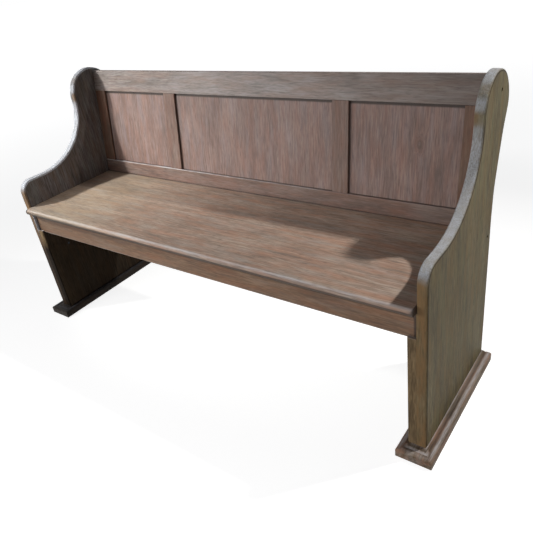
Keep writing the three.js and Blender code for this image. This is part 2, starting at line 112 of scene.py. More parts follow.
def addNode(tree, kind, settings=None, links=None):
    # one node: a setting is an input's value, both ends of a range, a ramp's stops or a property
    # of the node, and a link comes from an output, or from a node's first one
    node = tree.nodes.new("ShaderNode" + kind)
    for key, value in (settings or {}).items():
        if key == "stops":
            ramp = node.color_ramp.elements
            while len(ramp) < len(value):
                ramp.new(0.5)
            for element, (position, colour) in zip(ramp, value):
                element.position = position
                element.color = linearColour(colour)
        elif key in ("From", "To"):
            node.inputs[key + " Min"].default_value, node.inputs[key + " Max"].default_value = value
        elif isinstance(key, int) or key in node.inputs:
            node.inputs[key].default_value = value
        else:
            setattr(node, key, value)
    for key, source in (links or {}).items():
        tree.links.new(source.outputs[0] if hasattr(source, "outputs") else source, node.inputs[key])
    return node


view = {
    "place": (1.18749, -1.22201, 1.23448),
    "turn": (59.4261, 7.8699, 35.8800),
    "lens": 37.547,
}
cameraData = bpy.data.cameras.new("photographer")
cameraData.lens = view["lens"]
cameraObject = inScene("photographer", cameraData)
cameraObject.location = view["place"]
cameraObject.rotation_euler = [math.radians(angle) for angle in view["turn"]]
bpy.context.scene.camera = cameraObject
bpy.context.scene.view_settings.view_transform = "Standard"

studio = {
    "floorSize": 60.0,
    "floorSeen": (0.84, 1.0),   # the floor's own white as the camera sees it, near and far
    "floorFades": (1.6, 5.0),   # and the distances over which it changes
    "floorPale": "#c9c9c9",     # what it adds where a lamp reaches it
    "floorBounce": "#2e2c2a",   # what the bench gets back from it
    "sky": [(0.0, "#2b2a29"), (0.9, "#b9bcc2")],    # from the horizon up
    "skyStrength": 0.166,
    "lamps": {
        # above and behind on the right: throws the arm's shadow across the seat
        "high_right": {"place": (2.489, 1.677, 3.48), "target": (0.75, -0.1, 0.5),
                       "size": 0.18, "spread": 50, "watts": 8.2, "colour": "#fffdf8"},
        # above and in front on the left: lights the left of the seat and back
        "high_left": {"place": (-1.649, -0.978, 1.48), "target": (-0.5, 0.1, 0.6),
                      "size": 0.16, "spread": 48, "watts": 3.2, "colour": "#fcfdf9"},
        # a wide soft one low in front
        "front_fill": {"place": (-1.5, -2.4, 1.0), "target": (0.05, 0.2, 0.7),
                       "size": 1.6, "spread": 80, "watts": 7.8, "colour": "#ffffff"},
        # and a small one below the seat's height, for the rail and the fronts of the legs
        "low_front": {"place": (0.9, -1.9, 0.45), "target": (0.5, 0.0, 0.45),
                      "size": 0.8, "spread": 180, "watts": 8.7, "colour": "#ffffff"},
    },
}


def seenDirectly(tree):
    # one for camera, mirror and glass rays, nought for light that bounces off a dull surface
    path = addNode(tree, "LightPath").outputs
    first = addNode(tree, "Math", {"operation": "ADD"}, {0: path["Is Camera Ray"], 1: path["Is Glossy Ray"]})
    return addNode(tree, "Math", {"operation": "ADD", "use_clamp": True},
                   {0: first, 1: path["Is Transmission Ray"]})


world = bpy.data.worlds.new("paleStudio")
bpy.context.scene.world = world
tree = clearedTree(world)
direction = addNode(tree, "TexCoord").outputs["Generated"]
height = addNode(tree, "SeparateXYZ", None, {0: direction}).outputs["Z"]
sky = addNode(tree, "ValToRGB", {"stops": studio["sky"]}, {0: height})
soft = addNode(tree, "Background", {"Strength": studio["skyStrength"]}, {"Color": sky})
white = addNode(tree, "Background", {"Color": (1, 1, 1, 1), "Strength": 1.0})
mixed = addNode(tree, "MixShader", None, {0: seenDirectly(tree), 1: soft, 2: white})
addNode(tree, "OutputWorld", None, {0: mixed})

floorMaterial = bpy.data.materials.new("matt white studio floor")
tree = clearedTree(floorMaterial)
bounce = addNode(tree, "BsdfDiffuse", {"Color": linearColour(studio["floorBounce"])})
pale = addNode(tree, "BsdfDiffuse", {"Color": linearColour(studio["floorPale"])})
place = addNode(tree, "TexCoord").outputs["Object"]
distance = addNode(tree, "VectorMath", {"operation": "LENGTH"}, {0: place}).outputs["Value"]
fade = addNode(tree, "MapRange", {"From": studio["floorFades"], "To": studio["floorSeen"]},
               {"Value": distance})
glow = addNode(tree, "Emission", None, {"Strength": fade})
seen = addNode(tree, "AddShader", None, {0: pale, 1: glow})
mixed = addNode(tree, "MixShader", None, {0: seenDirectly(tree), 1: bounce, 2: seen})
addNode(tree, "OutputMaterial", None, {0: mixed})

half = studio["floorSize"] / 2
floorMesh = bpy.data.meshes.new("studio_floor")
floorMesh.from_pydata([(-half, -half, 0), (half, -half, 0), (half, half, 0), (-half, half, 0)],
                      [], [(0, 1, 2, 3)])
floorMesh.materials.append(floorMaterial)
floor = inScene("studio_floor", floorMesh)

for lampName, lamp in studio["lamps"].items():
    lampData = bpy.data.lights.new(lampName, "AREA")
    lampData.shape = "DISK"
    lampData.size = lamp["size"]
    lampData.spread = math.radians(lamp["spread"])
    lampData.energy = lamp["watts"]
    lampData.color = linearColour(lamp["colour"])[:3]
    lampObject = inScene(lampName, lampData)
    lampObject.location = lamp["place"]
    aim = Vector(lamp["target"]) - Vector(lamp["place"])
    lampObject.rotation_euler = aim.to_track_quat("-Z", "Y").to_euler()
print("studio ready:", len(studio["lamps"]), "lamps")


# Materials

# Size of one figure along and across the grain in millimetres, then detail and roughness.
# Real brush marks are 0.5 to 1 mm wide and pores 0.3 mm, and are drawn coarser so that they show.
grainLayers = {
    "cloud": (240, 60, 2.0, 0.5),
    "streak": (85, 5.0, 3.0, 0.6),
    "brush": (32, 2.3, 2.0, 0.55),
    "pore": (26, 1.7, 1.0, 0.5),
    "patch": (120, 22, 3.0, 0.6),
    "wash": (150, 24, 4.0, 0.6),
}
growth = {
    "drift": (4, 14, 14),            # sideways wanders in a metre, along and across the grain
    "layerStep": 7.3,                # keeps two layers from showing the same figure
    "speckle": (0.40, 0.56, 0.55),   # brush marks that break up pale and bare marks, and what they leave of them
    "broken": (0.40, 0.62),          # the patches that do the same
    "bareAndPaintedRange": (0.5, 1.0),         # least and most of bare wood and painted tint that shows
    "streakRelief": 0.6,             # height of the streaks beside that of the brush marks
    "glossFrom": (0.35, 0.65),       # streaks between which the roughness changes
    "ior": 1.5,
}


def woodMaterial(name, look, turn=None):
    # new pieces carry values for their grain, for rubbed wear with painted highlights, for bare wood
    # with painted sheen and shade, for wax and painted shade along crevices, and for knots; a CAD node uses
    # its place, turned
    material = bpy.data.materials.new(name)
    tree = clearedTree(material)
    carried = turn is None
    if carried:
        place = addNode(tree, "Attribute", {"attribute_name": "grain"}).outputs["Vector"]
    else:
        spot = addNode(tree, "TexCoord").outputs["Object"]
        place = addNode(tree, "Mapping", {"Rotation": turn}, {"Vector": spot})

    # the grain wanders a few millimetres sideways along a board
    drift = addNode(tree, "Mapping", {"Scale": growth["drift"]}, {"Vector": place})
    wander = addNode(tree, "TexNoise", {"Scale": 1.0, "Detail": 1.0}, {"Vector": drift})
    sideways = addNode(tree, "Math", {"operation": "MULTIPLY_ADD", 1: look["wander"] / 1000,
                                      2: -look["wander"] / 2000}, {0: wander})
    shift = addNode(tree, "CombineXYZ", None, {"Y": sideways})
    bent = addNode(tree, "VectorMath", {"operation": "ADD"}, {0: place, 1: shift})

    layers = {}
    for layer, (along, across, detail, rough) in grainLayers.items():
        stretched = addNode(tree, "Mapping", {"Scale": (1000 / along, 1000 / across, 1000 / across),
                                              "Location": (0, 0, growth["layerStep"] * len(layers))},
                            {"Vector": bent})
        layers[layer] = addNode(tree, "TexNoise", {"Scale": 1.0, "Detail": detail, "Roughness": rough},
                                {"Vector": stretched})

    clouds, streaks, brushed = look["shares"]
    tone = addNode(tree, "Math", {"operation": "MULTIPLY", 1: clouds}, {0: layers["cloud"]})
    for layer, share in (("streak", streaks), ("brush", brushed)):
        tone = addNode(tree, "Math", {"operation": "MULTIPLY_ADD", 1: share}, {0: layers[layer], 2: tone})
    colour = addNode(tree, "ValToRGB", {"stops": list(zip(look["toneStops"], look["tones"]))}, {0: tone})

    # warm wood shows through in patches, pale wash stays in others, and pores are dark with wax
    for layer, tint, (low, high, most) in (("patch", look["under"], look["underRange"]),
                                           ("wash", look["wash"], look["washRange"]),
                                           ("pore", look["pore"], look["poreRange"])):
        amount = addNode(tree, "MapRange", {"From": (low, high), "To Max": most}, {"Value": layers[layer]})
        colour = addNode(tree, "Mix", {"data_type": "RGBA", 7: linearColour(tint)},
                         {0: amount, 6: colour}).outputs[2]

    # each glued stave is a little lighter or darker
    across = addNode(tree, "SeparateXYZ", None, {0: bent}).outputs["Y"]
    count = addNode(tree, "Math", {"operation": "DIVIDE", 1: look["stave"] / 1000}, {0: across})
    number = addNode(tree, "Math", {"operation": "FLOOR"}, {0: count})
    chance = addNode(tree, "TexWhiteNoise", {"noise_dimensions": "1D"}, {"W": number}).outputs["Value"]
    lift = addNode(tree, "MapRange", {"To": (1 - look["staveChange"], 1 + look["staveChange"])},
                   {"Value": chance})
    colour = addNode(tree, "VectorMath", {"operation": "SCALE"}, {0: colour, 3: lift})

    if carried:
        # pale from rubbing and painted highlight, bare wood and painted sheen and shade, dark wax and painted
        # shade
        # along crevices, and knots: where the piece says so, and the first two broken up by the patches and
        # the brushed grain
        given = {trait: addNode(tree, "Attribute", {"attribute_name": trait}).outputs["Fac"]
                 for trait in ("wear", "bare", "gap", "knot")}
        low, high, least = growth["speckle"]
        speckle = addNode(tree, "MapRange", {"From": (low, high), "To Min": least},
                          {"Value": layers["brush"]})
        tintedMarks = []
        for trait, tint, layer, shown in (("wear", look["rubbedAndHighlight"], "wash", look["wearAndHighlightRange"]),
                                          ("bare", look["edge"], "patch", growth["bareAndPaintedRange"])):
            broken = addNode(tree, "MapRange", {"From": growth["broken"], "To": shown},
                             {"Value": layers[layer]})
            breakup = addNode(tree, "Math", {"operation": "MULTIPLY"}, {0: broken, 1: speckle})
            tintedMarks.append((tint, addNode(tree, "Math", {"operation": "MULTIPLY"}, {0: given[trait], 1: breakup})))
        near, far, most = look["waxAndShadeReach"]
        waxAndShadeAmount = addNode(tree, "MapRange", {"From": (near, far), "To": (most, 0.0)}, {"Value": given["gap"]})
        for tint, amount in tintedMarks + [(look["waxAndShade"], waxAndShadeAmount), (look["knot"], given["knot"])]:
            colour = addNode(tree, "Mix", {"data_type": "RGBA", 7: linearColour(tint)},
                             {0: amount, 6: colour}).outputs[2]

    relief = addNode(tree, "Math", {"operation": "MULTIPLY_ADD", 1: growth["streakRelief"]},
                     {0: layers["streak"], 2: layers["brush"]})
    bump = addNode(tree, "Bump", {"Strength": look["bump"], "Distance": look["relief"] / 1000},
                   {"Height": relief})
    gloss = addNode(tree, "MapRange", {"From": growth["glossFrom"], "To": look["roughness"]},
                    {"Value": layers["streak"]})
    surface = addNode(tree, "BsdfPrincipled", {"IOR": growth["ior"], "Specular IOR Level": look["specular"]},
                      {"Base Color": colour, "Roughness": gloss, "Normal": bump})
    addNode(tree, "OutputMaterial", None, {0: surface})
    return material


# Wire-brushed hardwood under a grey-brown wash and wax: short soft streaks, pink and tan wood
# showing through, dark lines painted in the corners as shade, and a low sheen that breaks along the brushed
# grain
seatLook = {
    "tones": ("#84746a", "#a18c7e", "#bca899"), "toneStops": (0.40, 0.50, 0.60),
    "shares": (0.28, 0.42, 0.30),    # of the clouds, the streaks and the brush marks in the tone
    "wander": 7.0, "stave": 54.0, "staveChange": 0.04,
    # where a layer starts to show, where it is full, and how much of it then shows
    "under": "#bd8b72", "underRange": (0.42, 0.68, 0.5),
    "wash": "#b9b1aa", "washRange": (0.48, 0.72, 0.45),
    "pore": "#4c3f37", "poreRange": (0.57, 0.71, 0.5),
    # rubbed paints the highlight on the nosing's crown as well as wear, and edge the painted sheen on the
    # left of the seat
    "edge": "#b4aa90", "rubbedAndHighlight": "#d2cdce", "wearAndHighlightRange": (0.6, 1.0),
    # wax and painted shade: full up to the first distance from a crevice, gone at the second, and how much
    "waxAndShade": "#241b15", "waxAndShadeReach": (1.0, 3.5, 0.85), "knot": "#3d2f26",
    "bump": 0.5, "relief": 0.3, "roughness": (0.48, 0.6), "specular": 0.25,
}
# the panels' dark along the frame is painted shade, reaching further than the seat's
panelLook = {**seatLook, "tones": ("#65554f", "#7c665f", "#907c75"),
             "under": "#956a59", "underRange": (0.42, 0.68, 0.35), "wash": "#8e8487",
             "stave": 62.0, "waxAndShadeReach": (1.0, 4.5, 0.92)}
frameLook = {**seatLook, "tones": ("#574842", "#6e5a51", "#826e66"), "under": "#815949",
             "wash": "#817671"}
stileLook = {**frameLook, "tones": ("#503d33", "#654c3f", "#765e4f"), "under": "#754b38",
             "wash": "#756559"}
# its dark edge colour paints shade on the left of the rail
railLook = {**frameLook, "tones": ("#634e41", "#7b614d", "#917661"), "under": "#906146",
            "wash": "#8d7f73", "edge": "#5a4a3a"}
# its dark edge colour paints shade on the right end of the top rail
capLook = {**seatLook, "tones": ("#625953", "#7c706b", "#928983"), "under": "#8c7062",
           "wash": "#9d9797", "edge": "#463c34"}
# the bluish rubbed colour paints the highlights on the arms as well as their wear; edge is bare wood
endLook = {**seatLook, "tones": ("#564f3c", "#766b54", "#948a6f"), "under": "#88704a",
           "wash": "#8a8a69", "pore": "#2e2820", "stave": 74.0, "edge": "#8a6c4c", "rubbedAndHighlight": "#c2c5cd",
           "wearAndHighlightRange": (0.75, 1.0), "waxAndShadeReach": (0.6, 3.2, 0.85), "specular": 0.06, "roughness": (0.5, 0.62)}
# a darker copy for the left end, which stands in shade: painted shade
leftEndShadedLook = {**endLook, "tones": ("#464240", "#605a59", "#787576"), "under": "#6f5e50",
               "wash": "#717570"}
# nearly black: the leg space's shade is painted into the colour; edge is the lit front's colour
legShadedLook = {**seatLook, "tones": ("#2a221b", "#3e342a", "#50453a"), "under": "#503b2a",
           "wash": "#47413a", "pore": "#241c15", "edge": "#967f60", "waxAndShade": "#17110d",
           "waxAndShadeReach": (1.0, 3.5, 0.97), "specular": 0.05, "roughness": (0.6, 0.7)}
# rubbed paints the highlight on the bead's crown and wax the shade in the cove
footLook = {**seatLook, "tones": ("#56483a", "#766452", "#8f7c66"), "rubbedAndHighlight": "#c2bcbd",
            "wearAndHighlightRange": (0.8, 1.0), "waxAndShadeReach": (0.5, 7.0, 0.6), "waxAndShade": "#2e2a29", "specular": 0.1}
# a darker copy for the left foot, which stands in shade: painted shade
leftFootShadedLook = {**footLook, "tones": ("#231d18", "#322d28", "#403934"),
                "rubbedAndHighlight": "#55555a", "under": "#3d2c24", "wash": "#3e3b39"}

# Plain planed hardwood, stained dark: what the seat's underframe is made of
underframeLook = {**seatLook, "tones": ("#3f332a", "#5b4b3f", "#75634f"),
                  "under": "#6f4f36", "washRange": (0.6, 0.8, 0.1), "bump": 0.2,
                  "roughness": (0.6, 0.7), "specular": 0.3}
# Turned beech dowel, unfinished: pale, with short brown flecks
beechLook = {**seatLook, "tones": ("#a9855c", "#c6a67a", "#d9bd94"), "under": "#b98a5e",
             "washRange": (0.6, 0.8, 0.1), "bump": 0.15, "roughness": (0.6, 0.7), "specular": 0.4}
# Black oxide over turned steel: nearly black, with fine brighter rubs. Its grit is 900 to the metre,
# drawn coarser than the real one so that it shows.
steelLook = {"stops": [(0.35, "#161617"), (0.7, "#37383b")], "grit": 900.0, "detail": 3.0,
             "roughness": (0.55, 0.3), "bump": 0.2, "relief": 0.1}


def steelMaterial(name, look):
    # the same grit gives the rubs, their smoother gloss and the relief
    material = bpy.data.materials.new(name)
    tree = clearedTree(material)
    spot = addNode(tree, "TexCoord").outputs["Object"]
    grit = addNode(tree, "TexNoise", {"Scale": look["grit"], "Detail": look["detail"]}, {"Vector": spot})
    colour = addNode(tree, "ValToRGB", {"stops": look["stops"]}, {0: grit})
    gloss = addNode(tree, "MapRange", {"To": look["roughness"]}, {"Value": grit})
    bump = addNode(tree, "Bump", {"Strength": look["bump"], "Distance": look["relief"] / 1000},
                   {"Height": grit})
    surface = addNode(tree, "BsdfPrincipled", {"Metallic": 1.0},
                      {"Base Color": colour, "Roughness": gloss, "Normal": bump})
    addNode(tree, "OutputMaterial", None, {0: surface})
    return material


washed = {
    "seat": ("seat boards", seatLook), "panel": ("back panels", panelLook),
    "frame": ("lower rails and muntins", frameLook), "stile": ("stiles", stileLook),
    "rail": ("front rail", railLook), "cap": ("top rail", capLook),
    "right_end": ("right pew end", endLook), "left_end": ("left pew end", leftEndShadedLook),
    "leg": ("inside the legs", legShadedLook),
    "right_foot": ("right foot", footLook), "left_foot": ("left foot", leftFootShadedLook),
}
materials = {key: woodMaterial(f"washed hardwood, {where}", look) for key, (where, look) in washed.items()}
materials["underframeAcross"] = woodMaterial("stained hardwood, planed, across", underframeLook,
                                             (0, 0, math.radians(90)))
materials["underframeAlong"] = woodMaterial("stained hardwood, planed, along", underframeLook, (0, 0, 0))
materials["beech"] = woodMaterial("turned beech", beechLook, (0, 0, 0))
materials["steel"] = steelMaterial("black oxide steel", steelLook)
print("materials made:", len(materials))


# Shapes

def ripple(u, v, length, seed):
    # smooth bumps between about -1 and 1: twice the mean of eight sine waves, each in its own
    # direction and 0.7 to 1.6 times this length
    waves = 8
    draw = np.random.default_rng(seed)
    turn, phase = draw.uniform(0, 2 * np.pi, (2, waves))
    size = length * draw.uniform(0.7, 1.6, waves)
    travel = u[..., None] * np.cos(turn) + v[..., None] * np.sin(turn)
    return 2 * np.sin(2 * np.pi * travel / size + phase).mean(axis=-1)


def mitres(outline):
    # for each point of a closed outline that runs anticlockwise, the step inwards that keeps
    # one unit from both of its edges: the sum of their normals over one plus their product
    edge = np.roll(outline, -1, axis=0) - outline
    normal = np.stack([-edge[:, 1], edge[:, 0]], axis=1) / np.linalg.norm(edge, axis=1)[:, None]
    before = np.roll(normal, 1, axis=0)
    return (normal + before) / (1 + (normal * before).sum(axis=1))[:, None]


def rounded(corners, radii, steps=4):
    # each corner becomes a quadratic curve between the points one radius before and after it
    corners = np.asarray(corners, float)
    radii = np.broadcast_to(np.asarray(radii, float), len(corners))[:, None, None]
    before = np.roll(corners, 1, axis=0) - corners
    after = np.roll(corners, -1, axis=0) - corners
    before = (before / np.linalg.norm(before, axis=1)[:, None])[:, None]
    after = (after / np.linalg.norm(after, axis=1)[:, None])[:, None]
    t = np.linspace(0, 1, steps + 1)[None, :, None]
    curve = corners[:, None] + radii * ((1 - t) ** 2 * before + t ** 2 * after)
    return curve.reshape(-1, 2)


def rectangle(left, low, right, high, radii):
    # anticlockwise from its lower left corner, with rounded corners
    return rounded([(left, low), (right, low), (right, high), (left, high)], radii)


def bezier(points, count):
    # a curve of one degree less than it has control points: their sum by their binomial shares
    points = np.asarray(points, float)
    degree = len(points) - 1
    t = np.linspace(0, 1, count + 1)[:-1, None]
    return sum(math.comb(degree, k) * (1 - t) ** (degree - k) * t ** k * point
               for k, point in enumerate(points))


def arc(centre, radii, start, stop, count):
    # a stretch of an ellipse: its centre plus each radius by the cosine or sine of the turn
    turn = np.radians(np.linspace(start, stop, count + 1)[:-1])
    return np.array(centre) + np.stack([radii[0] * np.cos(turn), radii[1] * np.sin(turn)], axis=1)


def spaced(outline, longest, hold=1.5):
    # edges of over four holds get a point one hold from each end, which keeps the shading flat, and
    # more between; the second result is one on the points that were there and nought on the new ones
    points, given = [], []
    for start, stop in zip(outline, np.roll(outline, -1, axis=0)):
        length = np.linalg.norm(stop - start)
        shares = np.array([0.0])
        if length > 4 * hold:
            count = max(1, math.ceil((length - 2 * hold) / longest))
            shares = np.concatenate([[0.0], np.linspace(hold / length, 1 - hold / length, count + 1)])
        points.append(start + shares[:, None] * (stop - start))
        given.append((shares == 0).astype(float))
    return np.concatenate(points), np.concatenate(given)


def gridFaces(rows, columns, closed=True):
    # quads between neighbouring rows; closed columns come back to the first
    steps = columns if closed else columns - 1
    row, column = np.meshgrid(np.arange(rows - 1), np.arange(steps), indexing="ij")
    following = (column + 1) % columns
    quads = np.stack([row * columns + column, row * columns + following,
                      (row + 1) * columns + following, (row + 1) * columns + column], axis=-1)
    return quads.reshape(-1, 4).tolist()


def closedEnds(rows, columns):
    # one face over the first row and one over the last, turned outwards
    first = list(range(columns))
    return [first[::-1], [(rows - 1) * columns + index for index in first]]


def bar(section, start, stop, axis, step=12.0, arris=0.6, longest=8.0):
    # a closed section carried from start to stop along an axis, drawn in by one arris at the ends
    outline, worn = spaced(section, longest)
    inwards = mitres(outline)
    count = max(2, math.ceil((stop - start) / step))
    along = np.concatenate([[start], np.linspace(start + arris, stop - arris, count), [stop]])
    drawnIn = np.zeros(len(along))
    drawnIn[[0, -1]] = arris
    flat = outline[None] + drawnIn[:, None, None] * inwards[None]
    run = np.broadcast_to(along[:, None, None], (*flat.shape[:2], 1))
    parts = [run, flat] if axis == "x" else [flat, run]
    points = np.concatenate(parts, axis=2).reshape(-1, 3)
    wear = np.broadcast_to(worn, flat.shape[:2]).reshape(-1)
    faces = gridFaces(len(along), len(outline)) + closedEnds(len(along), len(outline))
    return {"points": points, "faces": faces, "wear": wear}


# How much each point is made pale by rubbing and painted highlight, how much it takes the edge colour for
# bare wood and painted sheen and shade, and how many millimetres it is from a line of dark wax and painted
# shade
traits = {"wear": 0.0, "bare": 0.0, "gap": 50.0}
# Order of width, depth and height that gives a place along, across and through the grain
grainOrder = {"x": (0, 1, 2), "z": (2, 0, 1), "end": (2, 1, 0), "foot": (1, 0, 2)}
drill = {
    "sides": 24, "overrun": 3.0, "radius": 5.3,
    "boltDepth": 10.3, "screwDepth": 4.0, "nutDepth": 2.0,
    "near": 0.1,             # a point this close to a hole's edge belongs to it
}
making = {
    "weld": 0.0005,
    "easedFrom": math.radians(40),   # edges that turn more than this lose their arris
    "sharpFrom": math.radians(32),   # and those that turn less are shaded smooth
    "logStep": (1.7, 0.9, 0.5),      # metres between the grain of one board and the next
    "knotSqueeze": 0.8, "knotRings": 22.0, "knotDark": 0.5,
}


def tidyNormals(mesh):
    # joins points that lie together and turns the faces outwards
    shell = bmesh.new()
    shell.from_mesh(mesh)
    bmesh.ops.remove_doubles(shell, verts=shell.verts, dist=making["weld"])
    bmesh.ops.recalc_face_normals(shell, faces=shell.faces)
    shell.to_mesh(mesh)
    shell.free()


def settled(piece):
    # the modifiers' result becomes the mesh
    shaped = bpy.data.meshes.new_from_object(piece.evaluated_get(bpy.context.evaluated_depsgraph_get()))
    piece.modifiers.clear()
    piece.data = shaped


def drilled(piece, holes):
    # round recesses: each is a place on the face, a direction inwards and a depth
    points, faces = [], []
    sides, radius = drill["sides"], drill["radius"]
    turn = np.linspace(0, 2 * np.pi, sides + 1)[:-1]
    for number, (place, inwards, depth) in enumerate(holes):
        inwards = np.array(inwards, float)
        side = np.cross(inwards, (0.0, 0.0, 1.0) if inwards[2] == 0 else (1.0, 0.0, 0.0))
        up = np.cross(inwards, side)
        ring = radius * (np.cos(turn)[:, None] * side + np.sin(turn)[:, None] * up)
        rings = np.stack([ring - drill["overrun"] * inwards, ring + depth * inwards]) + np.array(place)
        points.append(rings.reshape(-1, 3))
        faces += [[2 * sides * number + index for index in face]
                  for face in gridFaces(2, sides) + closedEnds(2, sides)]
    cutterMesh = bpy.data.meshes.new("drill")
    cutterMesh.from_pydata(np.concatenate(points).tolist(), [], faces)
    tidyNormals(cutterMesh)
    cutter = inScene("drill", cutterMesh)
    cut = piece.modifiers.new("holes", "BOOLEAN")
    cut.operation = "DIFFERENCE"
    cut.solver = "EXACT"
    cut.object = cutter
    settled(piece)
    bpy.data.objects.remove(cutter)

    # the cut leaves nought on a hole's corners, which get the usual values
    at = np.empty(3 * len(piece.data.vertices))
    piece.data.vertices.foreach_get("co", at)
    onHole = np.zeros(len(at) // 3, bool)
    for place, inwards, depth in holes:
        offset = at.reshape(-1, 3) - place
        offset -= (offset @ inwards)[:, None] * np.array(inwards)
        onHole |= np.linalg.norm(offset, axis=1) < radius + drill["near"]
    for trait, usual in traits.items():
        values = np.empty(len(onHole), np.float32)
        piece.data.attributes[trait].data.foreach_get("value", values)
        values[onHole] = usual
        piece.data.attributes[trait].data.foreach_set("value", values)


def makePiece(name, shape, stands, material, place, grain, seed, holes=(), knots=(), arris=0.0):
    # a shape's points, faces and traits become an object, which stands for CAD nodes
    mesh = bpy.data.meshes.new(name)
    mesh.from_pydata(shape["points"].tolist(), [], shape["faces"])
    for trait, usual in traits.items():
        values = np.broadcast_to(shape.get(trait, usual), len(shape["points"])).astype(np.float32)
        mesh.attributes.new(trait, "FLOAT", "POINT").data.foreach_set("value", values)
    tidyNormals(mesh)
    piece = inScene(name, mesh)
    if arris:
        ease = piece.modifiers.new("arris", "BEVEL")
        ease.width = arris
        ease.segments = 2
        ease.limit_method = "ANGLE"
        ease.angle_limit = making["easedFrom"]
        settled(piece)
    if holes:
        drilled(piece, holes)
    mesh = piece.data
    mesh.name = name

    # grain: place along, across and through the board in metres, each board from its own log.
    # Round a knot the grain is squeezed aside and the rings close up.
    at = np.empty(3 * len(mesh.vertices))
    mesh.vertices.foreach_get("co", at)
    at = at.reshape(-1, 3)[:, grainOrder[grain]]
    dark = np.zeros(len(at))
    for alongKnot, acrossKnot, longRadius, wideRadius in knots:
        offset = at[:, :2] - (alongKnot, acrossKnot)
        swirl = np.exp(-((offset / (longRadius, wideRadius)) ** 2).sum(axis=1))
        at[:, 1] -= making["knotSqueeze"] * swirl * offset[:, 1]
        at[:, 2] += making["knotRings"] * swirl
        dark = np.maximum(dark, making["knotDark"] * swirl ** 2)
    at = at / 1000 + np.array(making["logStep"]) * seed
    at = at.astype(np.float32).ravel()
    mesh.attributes.new("grain", "FLOAT_VECTOR", "POINT").data.foreach_set("vector", at)
    mesh.attributes.new("knot", "FLOAT", "POINT").data.foreach_set("value", dark.astype(np.float32))
    mesh.transform(place)
    mesh.shade_smooth()
    mesh.set_sharp_from_angle(angle=making["sharpFrom"])
    mesh.materials.clear()
    mesh.materials.append(materials[material])
    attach(piece, "root")
    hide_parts(*stands)


plank = {
    "margin": 3.0,           # a flat face's own ring of points lies this far in from its rounding
    "flatSteps": 4,          # steps across the flat of the edge
    "waverLength": 75.0,     # of the bumps that the hand left
    "waverAcross": 3.0,      # how much shorter they are across the edge
    "waverReach": 2.5,       # how far in from the edge they still show
    "faceDarkGap": 3.0,          # millimetres from the dark line that the outer face counts as
}


def plate(outline, inner, outer, innerRound, outerRound, lowest, waver=0.0, seed=0, steps=6,
          margin=plank["margin"], pull=1.0):
    # a board lying in depth and height: across its thickness the section is a quarter circle,
    # a flat and a quarter circle, and each ring of the outline is drawn in by what they give,
    # in depth and in height by the shares in pull
    count = len(outline)
    innerRound, outerRound, margin = (np.broadcast_to(np.asarray(value, float), count)[:, None]
                                      for value in (innerRound, outerRound, margin))
    turn = np.linspace(0, np.pi / 2, steps + 1)
    thickness = abs(outer - inner)
    one = np.ones((count, 1))
    shares = np.linspace(0, 1, plank["flatSteps"] + 1)[1:-1]
    across = np.concatenate([
        0 * one, innerRound * (1 - np.cos(turn)),
        innerRound + (thickness - innerRound - outerRound) * shares,
        thickness - outerRound * (1 - np.cos(turn[::-1])), thickness * one], axis=1)
    drawnIn = np.concatenate([
        innerRound + margin, innerRound * (1 - np.sin(turn)), 0 * one * shares,
        outerRound * (1 - np.sin(turn[::-1])), outerRound + plank["margin"]], axis=1)
    length = np.cumsum(np.linalg.norm(np.roll(outline, -1, axis=0) - outline, axis=1))[:, None]
    # the hand-worked edge wavers inwards only
    uneven = ripple(length + 0 * across, plank["waverAcross"] * across, plank["waverLength"], seed)
    wobble = waver * np.maximum(1 + uneven, 0) * (drawnIn < innerRound + plank["waverReach"])
    path = outline[:, None] + (drawnIn + wobble)[..., None] * (pull * mitres(outline))[:, None]
    side = 1 if outer > inner else -1
    points = np.concatenate([(inner + side * across)[..., None], path], axis=2)
    points[..., 2] = np.maximum(points[..., 2], lowest)
    # the roundings are pale: rubbed wear, and on the ends' arms painted highlight
    wear = np.ones_like(across)
    wear[:, [0, -1]] = 0
    # the outer face starts where its rounding ends, and a dark line is drawn along it
    wear[:, -2 - steps:-1] = np.sin(turn[::-1]) ** 2
    gap = np.full_like(across, traits["gap"])
    gap[:, -2 - steps:-1] = outerRound * turn[::-1]
    gap[:, -1] = plank["faceDarkGap"]
    rows = across.shape[1]
    return {"points": points.transpose(1, 0, 2).reshape(-1, 3),
            "faces": gridFaces(rows, count) + closedEnds(rows, count),
            "wear": wear.T.reshape(-1), "gap": gap.T.reshape(-1)}


